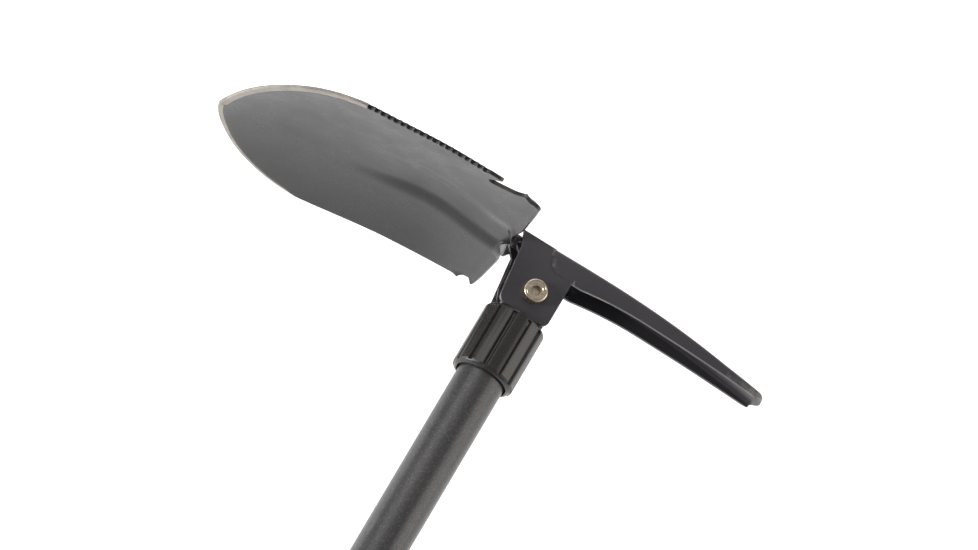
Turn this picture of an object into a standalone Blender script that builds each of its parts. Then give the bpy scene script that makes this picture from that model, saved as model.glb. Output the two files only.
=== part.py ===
"""Folding camp shovel: a spade blade and a channel-shaped pick on one pivot bolt,
locked by a screw collar at the end of a tubular handle.

Metres, +Z up. The tool lies on its side: the handle runs along +Y towards the head,
the pick points to +X, the blade to -X, and the pivot bolt stands along +Z.
The origin is the centre of the handle's flat butt end.
"""
import math

import bmesh
import bpy
from mathutils import Matrix, Vector

MM = 0.001

# ---- driving dimensions (millimetres) ----
HANDLE_REACH = 260.0        # butt face to pivot axis
FIT_GAP = 0.3               # between neighbouring pieces

TUBE_RADIUS = 11.0
TUBE_WALL = 1.5
COLLAR_RADIUS = 14.4
COLLAR_GROOVES = 12
COLLAR_TOP = -12.4          # heights along the handle, counted from the pivot
COLLAR_BOTTOM = -43.6
RECESS_RADIUS = 13.3
RECESS_FLOOR = -16.4

LUG_FOOT = -17.4
LUG_HALF = 3.4              # half thicknesses and faces along the bolt
LUG_WASHER = (3.7, 4.3)
BLADE_EAR = (4.6, 6.6)
EAR_WASHER = (6.9, 7.4)
COLLAR_CLEAR_FOOT = 12.9    # lowest edge of the pick's walls, which pass over the collar
PICK_EAR = (7.7, 9.5)

BOLT_RADIUS = 3.0
SLEEVE_RADIUS = 4.0
EAR_BORE = 4.3
PICK_BORE = 3.3
HEAD_RADIUS = 5.3
HEAD_HEIGHT = 3.6

BLADE_SHEET = 1.8
BLADE_TIP = 157.3           # distances from the pivot towards the tip
GROUND_START = 103.0
SHOULDER = 24.0
SHOULDER_HALF = 56.0
WIDEST_HALF = 62.6
CORNER_RADIUS = 4.6
LIP_FOLD = 22.4             # where the shoulder's turned-down lip starts
LIP_SLOPE = 0.62

SAW_TEETH = 19
SAW_START = 46.5
SAW_END = 106.0

PICK_LENGTH = 109.2
PICK_SHEET = 1.8

GRIP_LENGTH = 108.0
GRIP_RADIUS = 15.0
CAP_FLANGE = 5.0
PLUG_LENGTH = 26.0
SEAL_HEIGHT = 9.0
PIN_HEIGHT = 20.0           # of the cap's cross pin above the butt
LUG_PIN = -30.0             # cross pins of the head, counted from the pivot
RIVETS = -39.0
PIN_RADIUS = 1.5

PIVOT = Vector((0.0, HANDLE_REACH * MM, 0.0))


# ---- helpers ----
def clear_scene():
    for item in list(bpy.data.objects):
        bpy.data.objects.remove(item, do_unlink=True)


def new_collection(name):
    group = bpy.data.collections.new(name)
    bpy.context.scene.collection.children.link(group)
    return group


def material(name, color, roughness, metallic):
    made = bpy.data.materials.new(name)
    made.use_nodes = True
    shader = made.node_tree.nodes["Principled BSDF"]
    shader.inputs["Base Color"].default_value = (*color, 1.0)
    shader.inputs["Roughness"].default_value = roughness
    shader.inputs["Metallic"].default_value = metallic
    return made


def place(obj, group):
    """Links an object to its collection, with its origin on the pivot axis."""
    group.objects.link(obj)
    obj.location = PIVOT
    return obj


def mesh_object(name, bm):
    bmesh.ops.recalc_face_normals(bm, faces=bm.faces)
    mesh = bpy.data.meshes.new(name)
    bm.to_mesh(mesh)
    bm.free()
    return bpy.data.objects.new(name, mesh)


def cylinder(name, radius, low, high, segments=32, axis="Z", centre=(0.0, 0.0, 0.0)):
    """A solid cylinder between two heights along an axis, in millimetres."""
    bm = bmesh.new()
    bmesh.ops.create_cone(bm, cap_ends=True, segments=segments, radius1=radius * MM,
                          radius2=radius * MM, depth=(high - low) * MM)
    turn = {"Z": Matrix(), "Y": Matrix.Rotation(-math.pi / 2, 4, "X"),
            "X": Matrix.Rotation(math.pi / 2, 4, "Y")}[axis]
    middle = {"Z": (0, 0, 1), "Y": (0, 1, 0), "X": (1, 0, 0)}[axis]
    shift = Vector(middle) * (low + high) / 2 * MM + Vector(centre) * MM
    bm.transform(Matrix.Translation(shift) @ turn)
    return mesh_object(name, bm)


def turned(name, profile, segments=28, axis="Y"):
    """A profile of (radius, height) points, closed by itself, turned about an axis."""
    mesh = bpy.data.meshes.new(name)
    points = [(radius * MM, 0.0, height * MM) for radius, height in profile]
    count = len(points)
    closed = profile[0][0] > 0
    last = count if closed else count - 1
    mesh.from_pydata(points, [(i, (i + 1) % count) for i in range(last)], [])
    obj = bpy.data.objects.new(name, mesh)
    screw = obj.modifiers.new("turn", "SCREW")
    screw.axis = "Z"
    screw.steps = segments
    screw.render_steps = segments
    screw.use_merge_vertices = True
    screw.merge_threshold = 0.00001
    if axis == "Y":
        obj.rotation_euler = (-math.pi / 2, 0.0, 0.0)
    return obj


def ring(name, inner, outer, low, high, segments=28, axis="Z"):
    """A flat washer or sleeve with square edges."""
    profile = [(inner, high), (outer, high), (outer, low), (inner, low)]
    return turned(name, profile, segments, axis)


def outline_plate(name, points, low, high):
    """An outline in X and Y, filled and raised between two heights along the bolt."""
    bm = bmesh.new()
    base = [bm.verts.new((x * MM, y * MM, low * MM)) for x, y in points]
    bm.faces.new(base)
    raised = bmesh.ops.extrude_face_region(bm, geom=list(bm.faces))
    lifted = [item for item in raised["geom"] if isinstance(item, bmesh.types.BMVert)]
    bmesh.ops.translate(bm, verts=lifted, vec=(0.0, 0.0, (high - low) * MM))
    return mesh_object(name, bm)


def arc(centre, radius, start, end, steps):
    """Points on an arc, angles in degrees."""
    angles = [math.radians(start + (end - start) * i / steps) for i in range(steps + 1)]
    return [(centre[0] + radius * math.cos(a), centre[1] + radius * math.sin(a))
            for a in angles]


def cross_pin(name, height, low, high):
    """A pin across the handle, along X."""
    return cylinder(name, PIN_RADIUS, low, high, 20, "X", (0.0, height, 0.0))


def cross_bore(name, height):
    """The clearance bore that a cross pin goes through."""
    return cylinder(name, PIN_RADIUS + FIT_GAP, -20.0, 20.0, 20, "X", (0.0, height, 0.0))


def as_cutter(obj, cutters):
    obj.hide_render = True
    obj.display_type = "WIRE"
    return place(obj, cutters)


def boolean(obj, cutter, operation="DIFFERENCE"):
    step = obj.modifiers.new(operation.lower(), "BOOLEAN")
    step.operation = operation
    step.object = cutter
    step.solver = "EXACT"


def bevel(obj, width, segments=1, angle=40.0):
    step = obj.modifiers.new("bevel", "BEVEL")
    step.width = width * MM
    step.segments = segments
    step.limit_method = "ANGLE"
    step.angle_limit = math.radians(angle)


def smoothstep(value):
    value = min(1.0, max(0.0, value))
    return value * value * (3.0 - 2.0 * value)


# ---- blade ----
def blade_half_width(reach):
    """Half width of the blade at a distance from the pivot."""
    if reach <= GROUND_START:
        widening = (WIDEST_HALF - SHOULDER_HALF) / (GROUND_START - SHOULDER)
        return SHOULDER_HALF + widening * (reach - SHOULDER)
    share = min(1.0, (reach - GROUND_START) / (BLADE_TIP - GROUND_START))
    return WIDEST_HALF * (1.0 - share * share) ** 0.69


def edge_height(reach):
    """Height of the blade's long edge above the pivot plane."""
    drop = 0.0006 * reach * reach + 0.95 * smoothstep((reach - 62.0) / 38.0)
    rise = 0.55 * smoothstep((reach - 108.0) / 24.0)
    tip_start = 146.0
    curl = 1.9 * (max(0.0, reach - tip_start) / (BLADE_TIP - tip_start)) ** 2
    return 16.9 - drop + rise - curl


def blade_height(reach, side):
    """Height of the sheet's middle above the pivot plane, along the handle."""
    half = blade_half_width(max(reach, SHOULDER)) + 0.001
    away = abs(side)
    dish = 5.3 * (1.0 - (reach / BLADE_TIP) ** 6) - 4.2 * smoothstep((60.0 - reach) / 40.0)
    bulge = 1.0 - min(1.0, away / half) ** 2
    rise = channel_rise(reach, away)
    if side > 0:
        rise = (0.65 * channel_rise(reach, 0.0) + 0.35 * rise) * bulge
    return edge_height(reach) + dish * bulge + rise - LIP_SLOPE * lip_depth(reach, away)


def channel_rise(reach, away):
    """Rise of the middle channel: flat floor, walls steepest at their foot."""
    floor_half, foot, outside = 7.6, 10.4, 15.6
    spread = 0.95 + 0.05 * smoothstep((reach - 20.0) / 30.0)
    spread += 0.25 * smoothstep((reach - 50.0) / 40.0)
    across = away / spread
    if across < floor_half:
        share = 0.0
    elif across < foot:
        share = (across - floor_half) ** 2 / ((foot - floor_half) * (outside - floor_half))
    else:
        rest = max(0.0, outside - across)
        share = 1.0 - rest ** 2 / ((outside - foot) * (outside - floor_half))
    return 2.1 * smoothstep((100.0 - reach) / 38.0) * (1.0 - share)


def lip_depth(reach, away):
    """How far a point lies out past the fold of the turned-down shoulder lip."""
    corner_side = SHOULDER_HALF - CORNER_RADIUS
    if away > corner_side:
        inner = SHOULDER - LIP_FOLD
        past = math.hypot(max(0.0, SHOULDER - reach), away - corner_side) - inner
        past *= smoothstep((30.0 - reach) / 6.0)
    else:
        past = LIP_FOLD - reach
    return max(0.0, past) * smoothstep((away - 9.0) / 9.0)


def blade_rows():
    """Centre and edge of each row of the sheet, from the tip back to the neck."""
    rows = []
    for i in range(14):
        reach = BLADE_TIP - (BLADE_TIP - GROUND_START) * (i / 14) ** 1.6
        rows.append((reach, reach, blade_half_width(reach)))
    for i in range(10):
        reach = GROUND_START + (SHOULDER + 1.0 - GROUND_START) * i / 9
        rows.append((reach, reach, blade_half_width(reach)))
    corner = arc((SHOULDER, SHOULDER_HALF - CORNER_RADIUS), CORNER_RADIUS, 90.0, 172.0, 3)
    for i, (reach, side) in enumerate(corner[1:]):
        rows.append((23.4 - 0.5 * (i + 1), reach, side))
    for i, side in enumerate((41.0, 31.0, 21.0, 10.4)):
        rows.append((21.4 - 0.5 * i, 18.9 - 0.2 * i, side))
    fillet = arc((14.5, 10.4), 3.8, 0.0, -90.0, 4)
    for i, (reach, side) in enumerate(fillet[1:]):
        rows.append((18.6 - 1.0 * i, reach, side))
    return rows


def blade_sheet():
    """The dished sheet, as rows of points from edge to edge."""
    spread = [0.0, 0.12, 0.17, 0.22, 0.28, 0.38, 0.5, 0.63, 0.76, 0.88, 0.96, 1.0]
    shares = [-share for share in reversed(spread[1:])] + spread
    bm = bmesh.new()
    grid = []
    for centre, edge, half in blade_rows():
        row = []
        for share in shares:
            reach = centre + (edge - centre) * abs(share) ** 1.5
            side = half * share
            row.append(bm.verts.new((-reach * MM, blade_height(reach, side) * MM, side * MM)))
        grid.append(row)
    for upper, lower in zip(grid[:-1], grid[1:]):
        for i in range(len(shares) - 1):
            bm.faces.new((upper[i], upper[i + 1], lower[i + 1], lower[i]))
    bmesh.ops.remove_doubles(bm, verts=bm.verts, dist=0.00002)
    sheet = mesh_object("blade", bm)
    shell = sheet.modifiers.new("sheet", "SOLIDIFY")
    shell.thickness = BLADE_SHEET * MM
    shell.offset = 0.0
    return sheet


def blade_neck():
    """Two ears and the web between them, as one folded channel."""
    outline = [(-21.0, 20.9), (-21.0, 17.0), (-17.4, 15.2), (-14.3, 13.4), (-13.6, 9.6),
               (-13.2, 4.0), (-12.9, -1.0)]
    outline += arc((0.0, 0.0), 12.6, 192.0, 330.0, 14)
    outline += arc((-1.0, 0.0), 11.6, 0.0, 62.0, 6)
    outline += [(-7.5, 17.6), (-11.0, 20.9)]
    return outline_plate("blade_neck", outline, -BLADE_EAR[1], BLADE_EAR[1])


def neck_slot():
    """The gap between the blade's ears, open at the bottom and at the pivot side."""
    outline = [(-13.2, 26.0), (-13.2, 18.9), (-24.0, 17.4), (-24.0, -20.0), (20.0, -20.0),
               (20.0, 26.0)]
    return outline_plate("neck_slot", outline, -BLADE_EAR[0], BLADE_EAR[0])


def saw_cutter():
    """A row of slanted round notches along the blade's upper edge."""
    bm = bmesh.new()
    pitch = (SAW_END - SAW_START) / SAW_TEETH
    for i in range(SAW_TEETH):
        reach = SAW_START + pitch * (i + 0.5)
        side = blade_half_width(reach) + 0.55
        height = blade_height(reach, blade_half_width(reach))
        tilt = Matrix.Rotation(math.radians(90.0), 4, "X")
        spot = Vector((-reach, height, side)) * MM
        bmesh.ops.create_cone(bm, cap_ends=True, segments=10, radius1=1.75 * MM,
                              radius2=0.9 * MM, depth=7.0 * MM,
                              matrix=Matrix.Translation(spot) @ tilt)
    return mesh_object("saw_cutter", bm)


def side_notch(name, points):
    """A notch cutter whose outline is given as distance to the pivot and side."""
    bm = bmesh.new()
    base = [bm.verts.new((-reach * MM, 4.0 * MM, side * MM)) for reach, side in points]
    bm.faces.new(base)
    raised = bmesh.ops.extrude_face_region(bm, geom=list(bm.faces))
    lifted = [item for item in raised["geom"] if isinstance(item, bmesh.types.BMVert)]
    bmesh.ops.translate(bm, verts=lifted, vec=(0.0, 24.0 * MM, 0.0))
    return mesh_object(name, bm)


def make_blade(parts, cutters, finish):
    sheet = blade_sheet()
    sheet.data.materials.append(finish)
    place(sheet, parts)
    neck = as_cutter(blade_neck(), cutters)
    slot = as_cutter(neck_slot(), cutters)
    boolean(neck, slot)
    bore = as_cutter(cylinder("blade_bore", EAR_BORE, -12.0, 12.0, 32), cutters)
    opener = [(39.6, 60.5), (39.6, 57.2), (44.6, 49.2), (44.2, 46.9), (42.4, 46.1),
              (36.0, 48.8), (31.6, 50.6), (28.6, 53.6), (27.4, 57.6), (27.0, 62.0)]
    opener_slot = as_cutter(side_notch("opener_slot", opener), cutters)
    wire_notch = [(23.4 + x, -56.0 + y) for x, y in arc((0.0, 0.0), 3.4, 0.0, 324.0, 9)]
    corner_notch = as_cutter(side_notch("corner_notch", wire_notch), cutters)
    boolean(sheet, neck, "UNION")
    boolean(sheet, bore)
    boolean(sheet, opener_slot)
    boolean(sheet, corner_notch)
    boolean(sheet, as_cutter(saw_cutter(), cutters))
    return sheet


# ---- pick ----
def pick_section(reach):
    """Half width, top height, wall height at a distance along the pick."""
    part = max(0.0, reach) / PICK_LENGTH
    half = PICK_EAR[1] - 0.3 - 1.2 * part
    top = 23.3 + math.sin(math.pi * min(1.0, part * 1.25)) - 5.0 * part ** 3.3
    foot = 16.1 - 4.1 * (max(0.0, 50.0 - reach) / 38.0) ** 2
    foot -= 0.6 * (max(0.0, reach - 65.0) / 30.0) ** 2
    wall = max(PICK_SHEET + 0.3, top - max(foot, COLLAR_CLEAR_FOOT))
    return half, top, wall


def pick_channel():
    """The tapering channel, open towards the handle, as one bent sheet."""
    bm = bmesh.new()
    grid = []
    stations = [0.0, 6.0, 12.0] + [12.0 + 78.0 * i / 8 for i in range(1, 9)]
    tip_start = 99.0
    tip = [tip_start, 103.0, 106.0, 108.3, PICK_LENGTH]
    for reach in stations + tip:
        half, top, wall = pick_section(reach)
        over = max(0.0, reach - tip_start) / (PICK_LENGTH - tip_start)
        half *= math.sqrt(1.0 - 0.9 * over * over)
        wall *= 1.0 - 0.4 * over * over
        bend = min(2.4, half * 0.4, wall * 0.9)
        flat = half - PICK_SHEET / 2
        crown = top - PICK_SHEET / 2
        corner = arc((flat - bend, crown - bend), bend, 0.0, 90.0, 3)
        side = [(flat, crown - wall + PICK_SHEET / 2)] + corner + [((flat - bend) / 2, crown)]
        full = side + [(0.0, crown)] + [(-z, y) for z, y in reversed(side)]
        grid.append([bm.verts.new((reach * MM, y * MM, z * MM)) for z, y in full])
    for first, second in zip(grid[:-1], grid[1:]):
        for i in range(len(first) - 1):
            bm.faces.new((first[i], first[i + 1], second[i + 1], second[i]))
    channel = mesh_object("pick", bm)
    shell = channel.modifiers.new("sheet", "SOLIDIFY")
    shell.thickness = PICK_SHEET * MM
    shell.offset = 0.0
    return channel


def pick_ears():
    """A pair of flat cheek plates that carry the pivot bolt."""
    outline = [(-17.0, 22.2), (-14.8, 15.6), (-14.2, 9.8), (-13.5, 4.0), (-12.2, -8.0)]
    outline += arc((-8.8, -8.0), 3.3, 190.0, 270.0, 3)
    outline += arc((8.6, -7.8), 3.6, 270.0, 360.0, 3) + [(12.2, 11.3)]
    outline += arc((15.2, 11.3), 3.0, 180.0, 110.0, 3)
    outline += [(16.0, 17.0), (10.0, 21.6), (0.6, 21.6), (-0.2, 22.2)]
    return outline_plate("pick_ears", outline, -PICK_EAR[1], PICK_EAR[1])


def ear_gap():
    outline = [(-30.0, 40.0), (-30.0, -30.0), (30.0, -30.0), (30.0, 40.0)]
    return outline_plate("ear_gap", outline, -PICK_EAR[0], PICK_EAR[0])


def make_pick(parts, cutters, finish):
    channel = pick_channel()
    channel.data.materials.append(finish)
    place(channel, parts)
    ears = as_cutter(pick_ears(), cutters)
    boolean(ears, as_cutter(ear_gap(), cutters))
    boolean(channel, ears, "UNION")
    boolean(channel, as_cutter(cylinder("pick_bore", PICK_BORE, -14.0, 14.0, 32), cutters))
    return channel


# ---- pivot hardware ----
def make_bolt(parts, cutters, finish):
    """A button-head bolt with a hexagon socket, its head on the +Z side."""
    face = PICK_EAR[1] + FIT_GAP
    crown = face + HEAD_HEIGHT
    low = -(PICK_EAR[1] + 9.0)
    profile = [(0.0, crown), (HEAD_RADIUS - 0.7, crown), (HEAD_RADIUS - 0.2, crown - 0.25),
               (HEAD_RADIUS, crown - 0.8), (HEAD_RADIUS, face), (BOLT_RADIUS, face),
               (BOLT_RADIUS, low + 0.6), (BOLT_RADIUS - 0.6, low), (0.0, low)]
    bolt = turned("pivot_bolt", profile, 36, "Z")
    bolt.data.materials.append(finish)
    place(bolt, parts)
    socket = cylinder("bolt_socket", 2.3, crown - 2.3, crown + 2.0, 6)
    boolean(bolt, as_cutter(socket, cutters))
    return bolt


def make_nut(parts, cutters, finish):
    """A hexagon lock nut under the pick's lower cheek."""
    high = -(PICK_EAR[1] + 2 * FIT_GAP + 1.2)
    nut = cylinder("pivot_nut", 5.7, high - 5.4, high, 6)
    nut.data.materials.append(finish)
    place(nut, parts)
    bevel(nut, 0.5)
    bore = cylinder("nut_bore", BOLT_RADIUS + FIT_GAP, high - 8.0, high + 2.0, 32)
    boolean(nut, as_cutter(bore, cutters))
    return nut


def make_washers(parts, steel, nylon):
    face = -(PICK_EAR[1] + FIT_GAP)
    bore = BOLT_RADIUS + FIT_GAP
    made = [(ring("nut_washer", bore, 6.4, face - 1.2, face), steel)]
    for name, sign in (("front", 1), ("rear", -1)):
        low, high = sorted((sign * LUG_WASHER[0], sign * LUG_WASHER[1]))
        thrust = ring("lug_washer_" + name, SLEEVE_RADIUS + FIT_GAP, 8.5, low, high)
        made.append((thrust, nylon))
        low, high = sorted((sign * EAR_WASHER[0], sign * EAR_WASHER[1]))
        shim = ring("ear_washer_" + name, SLEEVE_RADIUS + FIT_GAP, 8.0, low, high)
        made.append((shim, steel))
    for obj, finish in made:
        obj.data.materials.append(finish)
        place(obj, parts)


def make_sleeve(parts, steel):
    """The spacer tube that the bolt clamps, which the blade's ears turn on."""
    end = EAR_WASHER[1]
    sleeve = ring("pivot_sleeve", BOLT_RADIUS + FIT_GAP, SLEEVE_RADIUS, -end, end, 32)
    sleeve.data.materials.append(steel)
    place(sleeve, parts)


# ---- fixed head of the handle ----
def make_lug(parts, cutters, finish):
    """A flat tongue with a round stem that drops into the ferrule."""
    outline = arc((0.0, 0.0), 9.6, 180.0, 0.0, 14)
    outline += [(9.6, -13.0), (7.8, LUG_FOOT), (-7.8, LUG_FOOT), (-9.6, -13.0)]
    lug = outline_plate("hinge_lug", outline, -LUG_HALF, LUG_HALF)
    lug.data.materials.append(finish)
    place(lug, parts)
    stem = as_cutter(cylinder("lug_stem", 6.0, -52.0, -14.5, 32, "Y"), cutters)
    boolean(lug, stem, "UNION")
    bore = cylinder("lug_bore", SLEEVE_RADIUS + FIT_GAP, -8.0, 8.0, 32)
    boolean(lug, as_cutter(bore, cutters))
    boolean(lug, as_cutter(cross_bore("lug_cross_bore", LUG_PIN), cutters))
    return lug


def make_ferrule(parts, cutters, finish):
    """A turned plug in the tube's mouth, threaded outside for the collar."""
    bore = 6.3
    top = -17.8
    seat = -34.0
    profile = [(bore, top), (10.0, top), (10.6, top - 0.6)]
    for i in range(4):
        crest = top - 2.4 - 3.2 * i
        profile += [(10.6, crest + 0.9), (11.4, crest + 0.3), (11.4, crest - 0.3),
                    (10.6, crest - 0.9)]
    plug = TUBE_RADIUS - TUBE_WALL - FIT_GAP
    profile += [(10.6, seat), (plug, seat), (plug, -66.0), (bore, -66.0)]
    ferrule = turned("threaded_ferrule", profile, 28)
    ferrule.data.materials.append(finish)
    place(ferrule, parts)
    boolean(ferrule, as_cutter(cross_bore("ferrule_cross_bore", LUG_PIN), cutters))
    boolean(ferrule, as_cutter(cross_bore("ferrule_rivet_bore", RIVETS), cutters))
    return ferrule


def make_pins(parts, steel):
    made = [cross_pin("lug_cross_pin", LUG_PIN, -10.2, 10.2),
            cross_pin("ferrule_rivet_left", RIVETS, -10.9, -6.6),
            cross_pin("ferrule_rivet_right", RIVETS, 6.6, 10.9)]
    for pin in made:
        pin.data.materials.append(steel)
        place(pin, parts)


# ---- collar ----
def make_collar(parts, cutters, finish):
    """A ribbed screw collar with a recess at its top for the turning cheeks."""
    thread_bore = 11.7
    skirt_bore = 12.9
    mouth_bore = 11.9
    profile = [(RECESS_RADIUS, COLLAR_TOP), (COLLAR_RADIUS - 0.6, COLLAR_TOP),
               (COLLAR_RADIUS - 0.2, COLLAR_TOP - 0.4), (COLLAR_RADIUS, COLLAR_TOP - 1.1),
               (COLLAR_RADIUS, COLLAR_BOTTOM + 1.3), (COLLAR_RADIUS - 0.9, COLLAR_BOTTOM),
               (mouth_bore, COLLAR_BOTTOM), (mouth_bore, COLLAR_BOTTOM + 1.8),
               (skirt_bore, COLLAR_BOTTOM + 2.2), (skirt_bore, -35.6), (thread_bore, -35.0),
               (thread_bore, RECESS_FLOOR), (RECESS_RADIUS, RECESS_FLOOR)]
    collar = turned("locking_collar", profile, 48)
    collar.data.materials.append(finish)
    place(collar, parts)
    bm = bmesh.new()
    for i in range(COLLAR_GROOVES):
        angle = 2 * math.pi * (i + 0.6) / COLLAR_GROOVES
        spin = Matrix.Rotation(angle, 4, "Y")
        length = COLLAR_TOP - COLLAR_BOTTOM - 2.4
        middle = Vector((0.0, COLLAR_TOP + 1.0 - length / 2, COLLAR_RADIUS + 0.3)) * MM
        size = Matrix.Diagonal((1.5 * MM, length * MM, 2.4 * MM, 1.0))
        bmesh.ops.create_cube(bm, size=1.0, matrix=spin @ Matrix.Translation(middle) @ size)
    boolean(collar, as_cutter(mesh_object("collar_grooves", bm), cutters))
    return collar


def make_wiper(parts, finish):
    wiper = turned("collar_wiper_ring", [(11.3, -37.6), (12.6, -37.6), (12.6, -40.8),
                                         (11.3, -40.8)])
    wiper.data.materials.append(finish)
    place(wiper, parts)


# ---- handle ----
def make_tube(parts, cutters, finish):
    inner = TUBE_RADIUS - TUBE_WALL
    low = -HANDLE_REACH + CAP_FLANGE + FIT_GAP
    profile = [(inner, -34.3), (TUBE_RADIUS - 0.3, -34.3), (TUBE_RADIUS, -34.6),
               (TUBE_RADIUS, low + 0.3), (TUBE_RADIUS - 0.3, low), (inner, low)]
    tube = turned("handle_tube", profile, 36)
    tube.data.materials.append(finish)
    place(tube, parts)
    boolean(tube, as_cutter(cross_bore("tube_rivet_bore", RIVETS), cutters))
    pin_bore = cross_bore("tube_pin_bore", -HANDLE_REACH + PIN_HEIGHT)
    boolean(tube, as_cutter(pin_bore, cutters))
    return tube


def make_grip(parts, finish):
    """A ribbed sleeve pushed over the tube."""
    low = -HANDLE_REACH + CAP_FLANGE + FIT_GAP
    high = low + GRIP_LENGTH
    inner = TUBE_RADIUS + FIT_GAP
    profile = [(inner, high), (GRIP_RADIUS - 2.2, high), (GRIP_RADIUS - 0.8, high - 2.0)]
    ribs = 9
    pitch = (GRIP_LENGTH - 16.0) / ribs
    for i in range(ribs):
        crest = high - 8.0 - pitch * (i + 0.5)
        profile += [(GRIP_RADIUS - 1.6, crest + pitch * 0.40), (GRIP_RADIUS, crest + pitch * 0.24),
                    (GRIP_RADIUS, crest - pitch * 0.24), (GRIP_RADIUS - 1.6, crest - pitch * 0.40)]
    profile += [(GRIP_RADIUS - 0.4, low + 3.0), (GRIP_RADIUS - 0.4, low), (inner, low)]
    grip = turned("grip_sleeve", profile, 28)
    grip.data.materials.append(finish)
    place(grip, parts)
    return grip


def make_end_cap(parts, cutters, finish):
    """A moulded plug with a flat-ended flange, held by a cross pin under the grip."""
    low = -HANDLE_REACH
    flange = low + CAP_FLANGE
    plug = TUBE_RADIUS - TUBE_WALL - FIT_GAP
    seat = flange + SEAL_HEIGHT
    profile = [(0.0, low + PLUG_LENGTH), (plug - 0.8, low + PLUG_LENGTH),
               (plug, low + PLUG_LENGTH - 0.8), (plug, seat), (plug - 1.4, seat),
               (plug - 1.4, seat - 2.4), (plug, seat - 2.4), (plug, flange),
               (GRIP_RADIUS - 0.6, flange), (GRIP_RADIUS - 0.6, low + 1.6),
               (GRIP_RADIUS - 1.1, low + 0.5), (GRIP_RADIUS - 2.2, low), (0.0, low)]
    cap = turned("end_cap", profile, 36)
    cap.data.materials.append(finish)
    place(cap, parts)
    boolean(cap, as_cutter(cross_bore("cap_pin_bore", low + PIN_HEIGHT), cutters))
    return cap


def make_cap_hardware(parts, rubber, steel):
    """The rubber ring that seals the cap's plug, and the pin that holds the plug."""
    high = -HANDLE_REACH + CAP_FLANGE + SEAL_HEIGHT - FIT_GAP
    low = high - 1.8
    outer = TUBE_RADIUS - TUBE_WALL - 0.2
    seal = turned("end_cap_seal", [(outer - 1.2, high), (outer, high), (outer, low),
                                   (outer - 1.2, low)])
    seal.data.materials.append(rubber)
    place(seal, parts)
    pin = cross_pin("end_cap_pin", -HANDLE_REACH + PIN_HEIGHT, -10.8, 10.8)
    pin.data.materials.append(steel)
    place(pin, parts)


def main():
    clear_scene()
    parts = new_collection("camp_shovel")
    cutters = new_collection("cutters")
    blade_paint = material("blade_paint", (0.085, 0.083, 0.088), 0.38, 0.6)
    pick_paint = material("pick_paint", (0.045, 0.045, 0.052), 0.35, 0.6)
    nickel = material("nickel_steel", (0.62, 0.55, 0.45), 0.25, 1.0)
    zinc = material("zinc_steel", (0.5, 0.5, 0.5), 0.35, 1.0)
    tube_coat = material("tube_coat", (0.09, 0.09, 0.095), 0.5, 0.3)
    black_plastic = material("black_plastic", (0.02, 0.02, 0.02), 0.3, 0.0)
    rubber = material("black_rubber", (0.015, 0.015, 0.015), 0.7, 0.0)
    nylon = material("nylon", (0.7, 0.68, 0.62), 0.5, 0.0)
    make_blade(parts, cutters, blade_paint)
    make_pick(parts, cutters, pick_paint)
    make_bolt(parts, cutters, nickel)
    make_nut(parts, cutters, nickel)
    make_washers(parts, zinc, nylon)
    make_sleeve(parts, zinc)
    make_lug(parts, cutters, zinc)
    make_ferrule(parts, cutters, zinc)
    make_pins(parts, zinc)
    make_collar(parts, cutters, black_plastic)
    make_wiper(parts, rubber)
    make_tube(parts, cutters, tube_coat)
    make_grip(parts, rubber)
    make_end_cap(parts, cutters, black_plastic)
    make_cap_hardware(parts, rubber, zinc)


main()
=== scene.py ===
"""Looks of the folding camp shovel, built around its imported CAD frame.

Sizes are in millimetres and count from the pivot bolt's middle, as in the part's source:
x towards the pick, y along the handle towards the head, z along the bolt. A piece's
object stands at the pivot, and MM turns its points into metres.
"""
import math

import bmesh
import bpy
from mathutils import Matrix, Vector
from mathutils.geometry import delaunay_2d_cdt
from mathutils.kdtree import KDTree


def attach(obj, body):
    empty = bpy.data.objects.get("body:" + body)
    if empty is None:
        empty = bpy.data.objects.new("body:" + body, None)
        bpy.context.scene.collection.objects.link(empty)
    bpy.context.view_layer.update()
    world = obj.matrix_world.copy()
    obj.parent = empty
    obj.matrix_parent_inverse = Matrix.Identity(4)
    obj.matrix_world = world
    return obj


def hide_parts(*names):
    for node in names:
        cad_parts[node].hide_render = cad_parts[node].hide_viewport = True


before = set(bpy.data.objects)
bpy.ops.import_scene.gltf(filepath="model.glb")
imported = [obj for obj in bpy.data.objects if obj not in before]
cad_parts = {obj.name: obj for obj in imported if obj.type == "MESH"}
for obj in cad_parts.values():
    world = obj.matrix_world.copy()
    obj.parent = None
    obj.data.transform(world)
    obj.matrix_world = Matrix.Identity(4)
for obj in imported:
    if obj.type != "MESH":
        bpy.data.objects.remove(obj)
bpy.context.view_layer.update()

MM = 0.001
HANDLE_REACH = 260.0        # butt face to pivot
PIVOT = Vector((0.0, HANDLE_REACH * MM, 0.0))

# ---- sizes repeated from the part ----
TUBE_RADIUS = 11.0
TUBE_WALL = 1.5
FIT_GAP = 0.3
COLLAR_RADIUS = 14.4
COLLAR_TOP = -12.4
COLLAR_BOTTOM = -43.6
LUG_FOOT = -17.4
LUG_HALF = 3.4
BLADE_EAR = (4.6, 6.6)
PICK_EAR = (7.7, 9.5)       # the cheeks' inner and outer faces
COLLAR_CLEAR_FOOT = 12.9    # lowest edge of the pick's walls, which pass over the collar
EAR_BORE = 4.3
PICK_BORE = 3.3
BOLT_RADIUS = 3.0
HEAD_RADIUS = 5.3
HEAD_HEIGHT = 3.6
BLADE_SHEET = 1.8
BLADE_TIP = 157.3
GROUND_START = 103.0
SHOULDER = 24.0
SHOULDER_HALF = 56.0
WIDEST_HALF = 62.6
CORNER_RADIUS = 4.6
LIP_FOLD = 22.4             # where the shoulder's turned-down lip starts
LIP_SLOPE = 0.62
SAW_START = 46.5
SAW_END = 106.0
PICK_LENGTH = 109.2
PICK_SHEET = 1.8
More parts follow.
